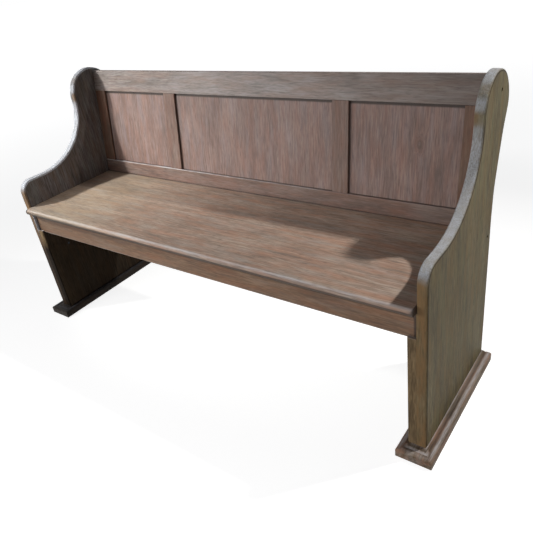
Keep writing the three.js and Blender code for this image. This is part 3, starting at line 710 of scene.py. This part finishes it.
# Pew ends: a flat board with the S-curved outline, its long edges rounded by hand
end = {
    "log": 11,               # which log the grain comes from
    "bumps": 4,              # seed of the hand-worked edge
    "round": 5.0,
    "arris": 0.3,            # on the inner side below the seat
    "armTop": 579.0,
    "nose": 45.0,            # radius of the arm's front
    "sweepStart": 100.0,     # where the arm starts to sweep up
    "lobe": (432.0, 798.044, 97.0),   # middle in depth and in height, and radius
    "rakeDrop": 239.0,       # the rear edge starts to rake this far below the lobe's middle
    "rake": math.radians(16.4),
    "rakeLength": 150.0,
    "easeBelow": 109.0,      # how far the bend there reaches down, and up
    "easeAbove": 54.0,
    "leadIn": 46.0,          # the pull of the curve into the lobe, on either side
    "leadOut": 23.0,
    "seatBand": 1.0,         # the edge changes from rounded to square this close to the seat
    "steps": {"bottom": 20, "rear": 20, "bend": 14, "rake": 8, "shoulder": 16, "lobe": 60, "sweep": 56,
              "arm": 8, "nose": 20, "front": 10, "band": 1, "leg": 30},
    "waver": 0.4,            # how far the hand-worked edge wavers
    # how pale the front edge is by height, from rubbing and painted highlight, and how bare it is
    "pale": ((470, 0.0), (535, 0.0), (548, 0.5), (560, 1.0), (740, 0.9), (782, 0.6), (794, 0.15),
             (814, 0.1), (826, 0.75), (843, 0.9), (852, 0.4), (872, 0.4), (884, 1.0), (895, 1.0)),
    "bare": ((470, 1.0), (538, 1.0), (560, 0.0), (784, 0.0), (795, 0.9), (811, 0.9), (822, 0.0),
             (848, 0.0), (858, 0.25), (870, 0.2), (880, 0.0)),
    "rubbedAndLitPast": 60.0,      # the rubbing and painted highlight reach this far behind the lobe's middle
    "bareAbove": 700.0,      # above this only the edge's inner part is bare,
    "bareInside": 788.0,     # from here
    "bareFade": 6.0,         # and fully this much further in
    "railMargin": 13.0,      # below the seat the inner face's ring of points lies this far in
    "besideRail": 1.4,       # painted light: how pale the left end's inner face is made beside the front rail
    "faceBand": 0.5,         # points this close to the inner face lie on it
}
# Painted shade darkens the front of the left end and leg near the floor: the dark line's distance by height
lowShade = ((290.0, 0.5), (350.0, 3.5))


def endOutline():
    # anticlockwise from the front foot: the bottom, the upright and raked rear edge, the round
    # lobe, the sweep of a quarter ellipse, the flat of the arm and its round front
    lobeY, lobeZ, lobeRadius = end["lobe"]
    lobeRear = lobeY + lobeRadius
    rear, corner = bench["endDepth"], lobeZ - end["rakeDrop"]
    base = bench["footTop"] - end["round"]
    slope = np.array([math.sin(end["rake"]), math.cos(end["rake"])])
    rakeTop = np.array([rear, corner]) + end["rakeLength"] * slope
    rakeStart = np.array([rear, corner]) + end["easeAbove"] * slope
    bendStart = (rear, corner - end["easeBelow"])
    overSeat = bench["seatUnder"] + end["seatBand"]
    belowSeat = bench["seatUnder"] - end["seatBand"]
    sweep, armTop, nose, steps = end["sweepStart"], end["armTop"], end["nose"], end["steps"]
    return np.concatenate([
        bezier([(0, base), (rear, base)], steps["bottom"]),
        bezier([(rear, base), bendStart], steps["rear"]),
        bezier([bendStart, (rear, corner), rakeStart], steps["bend"]),
        bezier([rakeStart, rakeTop], steps["rake"]),
        bezier([rakeTop, rakeTop + end["leadIn"] * slope, (lobeRear, lobeZ - end["leadOut"]),
                (lobeRear, lobeZ)], steps["shoulder"]),
        arc((lobeY, lobeZ), (lobeRadius, lobeRadius), 0, 180, steps["lobe"]),
        arc((sweep, lobeZ), (lobeY - lobeRadius - sweep, lobeZ - armTop), 0, -90, steps["sweep"]),
        bezier([(sweep, armTop), (nose, armTop)], steps["arm"]),
        arc((nose, armTop - nose), (nose, nose), 90, 180, steps["nose"]),
        bezier([(0, armTop - nose), (0, overSeat)], steps["front"]),
        bezier([(0, overSeat), (0, belowSeat)], steps["band"]),
        bezier([(0, belowSeat), (0, base)], steps["leg"]),
    ])


# Bolts go into the middle of the top rail's end, which leans, and of the rear rail's
lean, middle = back["lean"], back["depth"] / 2
boltPlaces = [
    (backFoot + back["boltHeight"] * math.sin(lean) + middle * math.cos(lean),
     backBase + back["boltHeight"] * math.cos(lean) - middle * math.sin(lean)),
    ((rearRail["front"] + rearRail["rear"]) / 2, (rearRail["under"] + bench["seatTop"]) / 2),
]
outline = endOutline()
above = outline[:, 1] > bench["seatUnder"]
beforeRail = ~above & (outline[:, 0] < bench["near"])
for side, sideName in bothSides:
    shape = plate(outline, side * bench["endInner"], side * bench["halfWidth"],
                  np.where(above, end["round"], end["arris"]), end["round"], bench["footTop"],
                  end["waver"], seed=end["bumps"] + side,
                  margin=np.where(beforeRail, end["railMargin"], plank["margin"]))
    x, y, z = shape["points"].T
    # the front edge: pale from rubbing and painted highlight, and bare in places
    front = shape["wear"] * (y < end["lobe"][0] + end["rubbedAndLitPast"])
    shape["wear"] = front * np.interp(z, *zip(*end["pale"]))
    inwards = np.clip((end["bareInside"] - np.abs(x)) / end["bareFade"], 0, 1)
    shape["bare"] = front * np.interp(z, *zip(*end["bare"])) * np.where(z > end["bareAbove"], inwards, 1)
    if side < 0:
        # painted shade low on the left end's front
        shape["gap"] = np.where(front > 0.5, np.interp(z, *zip(*lowShade)), shape["gap"])
        # painted light on the left end's inner face beside the front rail
        besideRail = ((x > -bench["endInner"] - end["faceBand"]) & (y < bench["near"])
                      & (z > frontRail["under"] - bench["near"]) & (z < bench["seatUnder"]))
        shape["wear"] = np.where(besideRail, end["besideRail"], shape["wear"])
        shape["bare"] = np.where(besideRail, 0.0, shape["bare"])
    holes = [((side * bench["halfWidth"], boltY, boltZ), (-side, 0, 0), drill["boltDepth"])
             for boltY, boltZ in boltPlaces]
    makePiece(f"{sideName}_pew_end", shape, [f"{sideName}_end"], f"{sideName}_end",
              benchPlace, "end", end["log"] + side, holes)
print("pew ends made")

# Leg boards: notched for both seat rails, with a tongue that rises before the front one and the
# edge that faces the leg space rounded
leg = {
    "log": 21, "bumps": 14,
    "round": 4.0, "arris": 0.8, "outerArris": 0.3, "waver": 0.2,
    "tongue": (frontRail["front"] - bench["fit"], 383.0),
    "frontNotch": (frontRail["rear"] + bench["fit"], frontRail["under"] - bench["fit"]),
    "rearNotch": (rearRail["front"] - bench["fit"], rearRail["under"] - bench["fit"]),
    "longest": 20.0,         # step between the outline's points,
    "hold": 2.5,             # and the distance from a corner to the next one
    "margin": 1.0,
    "litFrontFor": 1.5,          # the rounding has the lit front's colour over half of its width and then fades
    "shadePast": 0.5,          # the front's painted shade ends this far behind the rounding
    "screwHeight": 286.0, "screwShares": (0.2, 0.8),    # shares of the ends' depth
}
tongueY, tongueZ = leg["tongue"]
legCorners = [(0, bench["footTop"]), (bench["endDepth"], bench["footTop"]),
              (bench["endDepth"], leg["rearNotch"][1]), leg["rearNotch"],
              (leg["rearNotch"][0], bench["seatUnder"]), (leg["frontNotch"][0], bench["seatUnder"]),
              leg["frontNotch"], (tongueY, leg["frontNotch"][1]), leg["tongue"], (0, tongueZ)]
legOutline, _ = spaced(np.array(legCorners, float), leg["longest"], leg["hold"])
legRound = np.where(legOutline[:, 0] == 0, leg["round"], leg["arris"])
# at the tongue's front corner the rounding is wide in depth and narrow in height
legPull = np.ones_like(legOutline)
legPull[legOutline[:, 1] == tongueZ, 1] = leg["arris"] / leg["round"]
legPull[(legOutline == leg["tongue"]).all(axis=1), 1] = 1.0
for side, sideName in bothSides:
    shape = plate(legOutline, side * bench["legInner"], side * bench["endInner"], legRound, leg["outerArris"],
                  bench["footTop"], leg["waver"], leg["bumps"] + side, margin=leg["margin"], pull=legPull)
    x, y, z = shape["points"].T
    # the front takes the lit wood's colour against the shaded look, the tongue's top is painted pale as lit,
    # and low on the left front shade is painted
    shape["bare"] = np.clip(leg["litFrontFor"] - y / leg["round"], 0, 1)
    shape["wear"] = 1.0 * ((z > tongueZ - leg["arris"]) & (y < tongueY + bench["near"]))
    shape["gap"] = traits["gap"]
    if side < 0:
        shape["gap"] = np.where(y < leg["round"] + leg["shadePast"], np.interp(z, *zip(*lowShade)), traits["gap"])
    holes = [((side * bench["legInner"], bench["endDepth"] * share, leg["screwHeight"]), (side, 0, 0),
              drill["screwDepth"]) for share in leg["screwShares"]]
    makePiece(f"{sideName}_inner_leg", shape, [f"{sideName}_leg_board"], "leg", benchPlace,
              "end", leg["log"] + side, holes)
print("leg boards made")

# Feet: a bead and a shallow cove mitred round three sides, the rear sawn square
foot = {
    "log": 31, "bumps": 31,
    "toe": 38.0, "outside": 30.0, "inside": 20.0,    # how far it stands out beyond the boards
    "beadHalf": 10.0, "beadDepth": 5.0, "beadTurn": math.radians(143), "beadSteps": 12,
    "crownDrop": 0.5,        # the bead's crown lies this far below the top
    "quirkWidth": 2.5, "cove": 5.0, "ledge": 4.0, "arris": 0.5,
    "sideSteps": 30, "toeSteps": 8,
    "waver": 0.35, "waverLength": 60.0, "waverAcross": 3.0,
    # painted highlight and shade: beside the end the bead's crown and the ledge are painted pale as lit, with
    # painted shade in the cove; on the toe the cove is the painted highlight and the painted shade lies
    # behind it on the flat top
    "palest": 9.0, "paleWidth": 5.0, "ledgePale": 0.7,
    "toePalest": 20.0, "toePaleWidth": 4.0, "toeCrown": 0.3, "toeShade": 2.5,
    "endScrewShares": (0.2, 0.8), "legScrewShares": (0.35, 0.65),    # shares of the ends' depth
}


def footShape(low, high, seed):
    # rings of the moulding's profile: each goes from the rear, round the toe and back to the rear,
    # drawn in by the profile's width and lifted to its height
    turn = np.linspace(0, foot["beadTurn"], foot["beadSteps"] + 1)
    top = bench["footTop"]
    springing = top - foot["crownDrop"] - foot["beadDepth"]
    bead = foot["beadHalf"] * (1 - np.cos(turn))
    quirk = bead[-1] + foot["quirkWidth"]
    coveTop = quirk + foot["cove"]
    inset = np.concatenate([[0], bead, [quirk, coveTop, coveTop + foot["ledge"]]])[:, None]
    beadLift = springing + foot["beadDepth"] * np.sin(turn)
    lift = np.concatenate([[0], beadLift, [beadLift[-1], top, top]])[:, None]
    sides, toe = foot["sideSteps"], foot["toeSteps"] + 1
    acrossShare = np.concatenate([np.zeros(sides), np.linspace(0, 1, toe), np.ones(sides)])[None]
    forwardShare = np.concatenate([np.linspace(0, 1, sides + 1)[:-1], np.ones(toe),
                                   np.linspace(1, 0, sides + 1)[1:]])[None]
    x = low + inset + acrossShare * (high - low - 2 * inset)
    y = bench["endDepth"] + forwardShare * (inset - foot["toe"] - bench["endDepth"])
    uneven = (inset > 0) & (inset < bead[-1] - bench["near"])
    bumps = ripple(x + y, foot["waverAcross"] * inset + 0 * x, foot["waverLength"], seed)
    z = lift + foot["waver"] * uneven * bumps
    rings, count = x.shape
    first, last = closedEnds(rings, count)
    rear = np.arange(rings) * count
    faces = gridFaces(rings, count, closed=False)
    faces += [first[::-1], last[::-1], rear.tolist() + (rear[::-1] + count - 1).tolist()]
    # painted highlight on the crown, the ledge and the toe's cove; painted shade in the cove and on the toe's
    # flat top
    crown = (inset > 0) * np.exp(-((inset - foot["palest"]) / foot["paleWidth"]) ** 2)
    toeLine = np.exp(-((inset - foot["toePalest"]) / foot["toePaleWidth"]) ** 2)
    onToe = forwardShare == 1
    wear = np.where(onToe, np.maximum(foot["toeCrown"] * crown, toeLine),
                    np.maximum(crown, foot["ledgePale"] * (inset > coveTop)))
    toeGap = np.where(inset > coveTop - bench["near"], foot["toeShade"], traits["gap"])
    gap = np.where(onToe, toeGap, np.abs(inset - quirk))
    return {"points": np.stack([x, y, z], axis=-1).reshape(-1, 3), "faces": faces,
            "wear": wear.reshape(-1), "gap": gap.reshape(-1)}


endMiddle = (bench["endInner"] + bench["halfWidth"]) / 2
legMiddle = (bench["legInner"] + bench["endInner"]) / 2
for side, sideName in bothSides:
    low, high = sorted((side * (bench["legInner"] - foot["inside"]),
                        side * (bench["halfWidth"] + foot["outside"])))
    holes = [((side * across, bench["endDepth"] * share, 0.0), (0, 0, 1), drill["screwDepth"])
             for across, shares in ((endMiddle, foot["endScrewShares"]), (legMiddle, foot["legScrewShares"]))
             for share in shares]
    makePiece(f"{sideName}_sledge_foot", footShape(low, high, foot["bumps"] + side), [f"{sideName}_foot"],
              f"{sideName}_foot", benchPlace, "foot", foot["log"] + side, holes,
              arris=foot["arris"])
print("feet made")

# Seat: four boards, the front one with a full round nosing
seat = {
    "log": 41, "bumps": 40,
    "front": -21.0, "boards": 4, "boardWidth": 108.5, "noseSteps": 16, "arris": 0.4,
    "dip": 0.25, "dipLength": 130.0,     # the top's hollows
    # angles round the nosing: where its painted highlight is palest, how wide that is, and where the painted
    # shade under it starts
    "palest": 121.0, "paleWidth": 17.0, "darkFrom": 190.0,
    "darkSpeed": (10.0, 22.0),           # degrees to each step of painted shade, on the right and on the left
    "leftFrom": -100.0,                  # the nosing's left starts to change here
    "leftPale": 0.45,                    # and loses this much of its painted highlight
    "bleached": (0.5, -600.0, 260.0),    # painted sheen: the left of the seat takes a pale tan: how much, where, how wide
}


def seatBoard(index):
    # a bar whose section is a rectangle, or for the front board a half circle and a rectangle
    front = seat["front"] + index * seat["boardWidth"]
    rear = front + seat["boardWidth"]
    low, high = bench["seatUnder"], bench["seatTop"]
    radius = (high - low) / 2
    section = rectangle(front, low, rear, high, seat["arris"])
    if index == 0:
        nose = arc((front + radius, low + radius), (radius, radius), 90, 270, seat["noseSteps"])
        section = np.concatenate([nose, [(front + radius, low), (rear, low), (rear, high)]])
    shape = bar(section, -bench["endInner"], bench["endInner"], "x")
    x, y, z = shape["points"].T
    shape["wear"] = 0.0
    # dark along the ends and along the back's foot, and painted shade under the nosing where it meets the
    # rail
    shape["gap"] = np.minimum(bench["endInner"] - np.abs(x), np.abs(y - backFoot))
    if index == 0:
        around = np.degrees(np.arctan2(z - low - radius, y - front - radius)) % 360
        nose = y < front + radius
        leftwards = np.interp(x, (-bench["endInner"], seat["leftFrom"]), (1.0, 0.0))
        # painted highlight along the nosing's crown, and painted shade under it
        crown = np.exp(-((around - seat["palest"]) / seat["paleWidth"]) ** 2)
        shape["wear"] = nose * (1 - seat["leftPale"] * leftwards) * crown
        slow, fast = seat["darkSpeed"]
        belowCrown = 1 + (seat["darkFrom"] - around) / (slow + (fast - slow) * leftwards)
        shape["gap"] = np.where(nose, np.minimum(shape["gap"], belowCrown), shape["gap"])
    # painted sheen on the left of the seat
    most, place, width = seat["bleached"]
    shape["bare"] = most * np.exp(-((x - place) / width) ** 2)
    z += seat["dip"] * (z > high - bench["near"]) * (ripple(x, y, seat["dipLength"], seat["bumps"]) - 1) / 2
    return shape


for index in range(seat["boards"]):
    makePiece(f"seat_plank_{index + 1}", seatBoard(index), [f"seat_board_{index + 1}"], "seat",
              benchPlace, "x", seat["log"] + index)

low, high = frontRail["under"], bench["seatUnder"]
section = rectangle(frontRail["front"], low, frontRail["rear"], high,
                    [frontRail["round"]] + 3 * [frontRail["arris"]])
shape = bar(section, -bench["endInner"], bench["endInner"], "x", frontRail["step"])
# painted shade under the nosing and painted shadow at the right end
along, _, upwards = shape["points"].T
underNosing = frontRail["shade"] * np.maximum(high - frontRail["hidden"] - upwards, 0)
darkEnd, slope = frontRail["darkEnd"]
shape["gap"] = np.minimum(underNosing, slope * np.maximum(darkEnd - along, 0))
# painted shade on the left of the rail
shape["bare"] = np.interp(along, *frontRail["bare"])
shape["wear"] = np.interp(along, *frontRail["worn"]) * shape["wear"]
makePiece("front_seat_rail", shape, ["front_rail"], "rail", benchPlace, "x",
          frontRail["log"])

low, high = rearRail["under"], bench["seatTop"]
section = rectangle(rearRail["front"], low, rearRail["rear"], high, rearRail["arris"])
nutPlaces = [side * bench["nutOut"] for side in (-1, 1)]
makePiece("rear_seat_rail", bar(section, -bench["endInner"], bench["endInner"], "x"), ["rear_rail"],
          "frame", benchPlace, "x", rearRail["log"],
          [((x, rearRail["rear"], (low + high) / 2), (0, -1, 0), drill["nutDepth"]) for x in nutPlaces])
print("seat made")

# Back: rails and uprights with a groove for three flat panels, built upright and then leaned
groove = {"front": 7.7, "rear": 17.3, "deep": 12.0}
panel = {
    "front": 8.0, "rear": 17.0, "arris": 0.5,
    "entry": 10.0,           # how far it stands in the groove
    "topShade": 6.0,           # painted shade reaches this much further down from the top rail, less far in the right panel along its stile, and less far up from the bottom rail
    "sideShade": 1.5,          # less far in the right panel along its stile,
    "bottomShade": 1.2,        # and less far up from the bottom rail
    "waver": 0.15, "waverLength": 60.0,
    "waverAlong": 3.0,       # how much longer the bumps are along the grain
    "faceBand": 0.1,         # points this close to the face move with them
    "step": 5.0, "bumps": 80, "log": 81,
    "knot": (217.0, 600.0, 20.0, 11.0),    # in the right panel: height, width, and its two radii
}
eased = {"foot": 0.8, "rear": 1.2, "front": 1.4, "sill": 1.6, "cap": 5.0, "capSteps": 6}
grooveEased = [0.5, 0.3, 0.3, 0.5]
backPaintedLight = {
    # painted highlight on the bottom rail's upper edge: its height, how pale, how slowly that fades and to
    # what
    "sill": (3.0, 0.55, 900.0, 0.1),
    "cap": (0.22, 330.0),          # painted light on the top rail's middle: how pale, how wide
    "capDark": ((350, 770), (0.0, 0.45)),    # and painted shade darkens its right end
    "lip": 20.0,                   # painted shade reaches this far up the top rail
}
low, high, depth = back["bottomRail"], back["openingTop"], back["depth"]
grooveFront, grooveRear, deep = groove["front"], groove["rear"], groove["deep"]

heel = depth * math.tan(back["lean"])
section = rounded([(0, 0), (depth, heel), (depth, low), (grooveRear, low), (grooveRear, low - deep),
                   (grooveFront, low - deep), (grooveFront, low), (0, low)],
                  [eased["foot"], eased["foot"], eased["rear"], *grooveEased, eased["sill"]])
shape = bar(section, -backHalf, backHalf, "x")
along, through, upwards = shape["points"].T
# dark at the rail's foot and ends, and painted shade along the groove's front edge
shape["gap"] = np.minimum(np.minimum(upwards, backHalf - np.abs(along)), np.abs(grooveFront - through))
sillHeight, pale, reach, least = backPaintedLight["sill"]
# painted highlight along the sill, fading to the right
onSill = (upwards > low - sillHeight) & (through < grooveFront)
shape["wear"] = onSill * np.clip(pale - along / reach, least, 1)
makePiece("back_lower_rail", shape, ["back_bottom_rail"], "frame", backPlace, "x",
          back["logs"]["lower"])

section = rounded([(0, high), (grooveFront, high), (grooveFront, high + deep), (grooveRear, high + deep),
                   (grooveRear, high), (depth, high), (depth, back["top"]), (0, back["top"])],
                  [eased["front"], *grooveEased, eased["rear"], eased["cap"], eased["cap"]],
                  eased["capSteps"])
shape = bar(section, -backHalf, backHalf, "x")
along, through, upwards = shape["points"].T
# painted shade along the groove's lip, dark at the ends, painted light in the middle and painted shade at the
# right end
shape["gap"] = np.where(upwards < high + backPaintedLight["lip"], np.abs(grooveFront - through), backHalf - np.abs(along))
pale, width = backPaintedLight["cap"]
shape["wear"] = pale * np.exp(-(along / width) ** 2)
shape["bare"] = np.interp(along, *backPaintedLight["capDark"])
makePiece("back_upper_rail", shape, ["back_top_rail"], "cap", backPlace, "x",
          back["logs"]["upper"],
          [((x, depth, back["boltHeight"]), (0, -1, 0), drill["nutDepth"]) for x in nutPlaces])


def uprightSection(left, right, grooves):
    # anticlockwise in width and depth, from the front left corner; a groove cuts into an edge
    corners, radii = [(left, 0), (right, 0)], 2 * [eased["front"]]
    if "right" in grooves:
        inner = right - deep
        corners += [(right, grooveFront), (inner, grooveFront), (inner, grooveRear), (right, grooveRear)]
        radii += grooveEased
    corners += [(right, depth), (left, depth)]
    radii += 2 * [eased["rear"]]
    if "left" in grooves:
        inner = left + deep
        corners += [(left, grooveRear), (inner, grooveRear), (inner, grooveFront), (left, grooveFront)]
        radii += grooveEased
    return rounded(corners, radii)


inner, outer = back["muntin"]
uprights = {
    "left_stile": (-backHalf, -back["stileInner"], ["right"]),
    "left_muntin": (-outer, -inner, ["left", "right"]),
    "right_muntin": (inner, outer, ["left", "right"]),
    "right_stile": (back["stileInner"], backHalf, ["left"]),
}
for index, (node, (left, right, grooves)) in enumerate(uprights.items()):
    shape = bar(uprightSection(left, right, grooves), low + bench["fit"], high - bench["fit"], "z")
    # painted shade along the groove's front edge, beside the panels
    shape["gap"] = np.abs(grooveFront - shape["points"][:, 1])
    shape["wear"] = 0.0
    finish = "stile" if "stile" in node else "frame"
    makePiece(f"{node}_piece", shape, [node], finish, backPlace, "z",
              back["logs"]["upright"] + index)

panels = {
    "left_panel": (-back["stileInner"], -outer, 0.0, []),
    "middle_panel": (-inner, inner, 0.0, []),
    "right_panel": (outer, back["stileInner"], panel["sideShade"], [panel["knot"]]),
}
entry = panel["entry"]
for index, (node, (left, right, lessShade, knots)) in enumerate(panels.items()):
    section = rectangle(left - entry, panel["front"], right + entry, panel["rear"], panel["arris"])
    shape = bar(section, low - entry, high + entry, "z", panel["step"], longest=panel["step"])
    x, y, z = shape["points"].T
    shape["wear"] = 0.0
    # painted shade round the panel's edges, reaching furthest under the top rail
    belowRail = np.maximum(np.abs(high - z) - panel["topShade"], 0)
    shape["gap"] = np.stack([np.abs(x - left), np.abs(right - x) + lessShade,
                             np.abs(z - low) + panel["bottomShade"], belowRail]).min(axis=0)
    bumps = ripple(x, z / panel["waverAlong"], panel["waverLength"], panel["bumps"] + index)
    y += panel["waver"] * (y < panel["front"] + panel["faceBand"]) * bumps
    makePiece(f"{node}_board", shape, [node], "panel", backPlace, "z", panel["log"] + index,
              knots=knots)
print("back made")

# The solids that stay as they are only get their finish, and the last word in a name says which
finishes = {
    "batten": "underframeAcross", "block": "underframeAlong", "dowel": "beech",
    "screw": "steel", "bolt": "steel", "nut": "steel",
}
kept = {name: node for name, node in nodes.items() if not node.hide_render}
for name, node in kept.items():
    words = [word for word in finishes if word in name]
    node.data.materials.clear()
    node.data.materials.append(materials[finishes[words[-1]]])
print("kept solids finished:", len(kept))
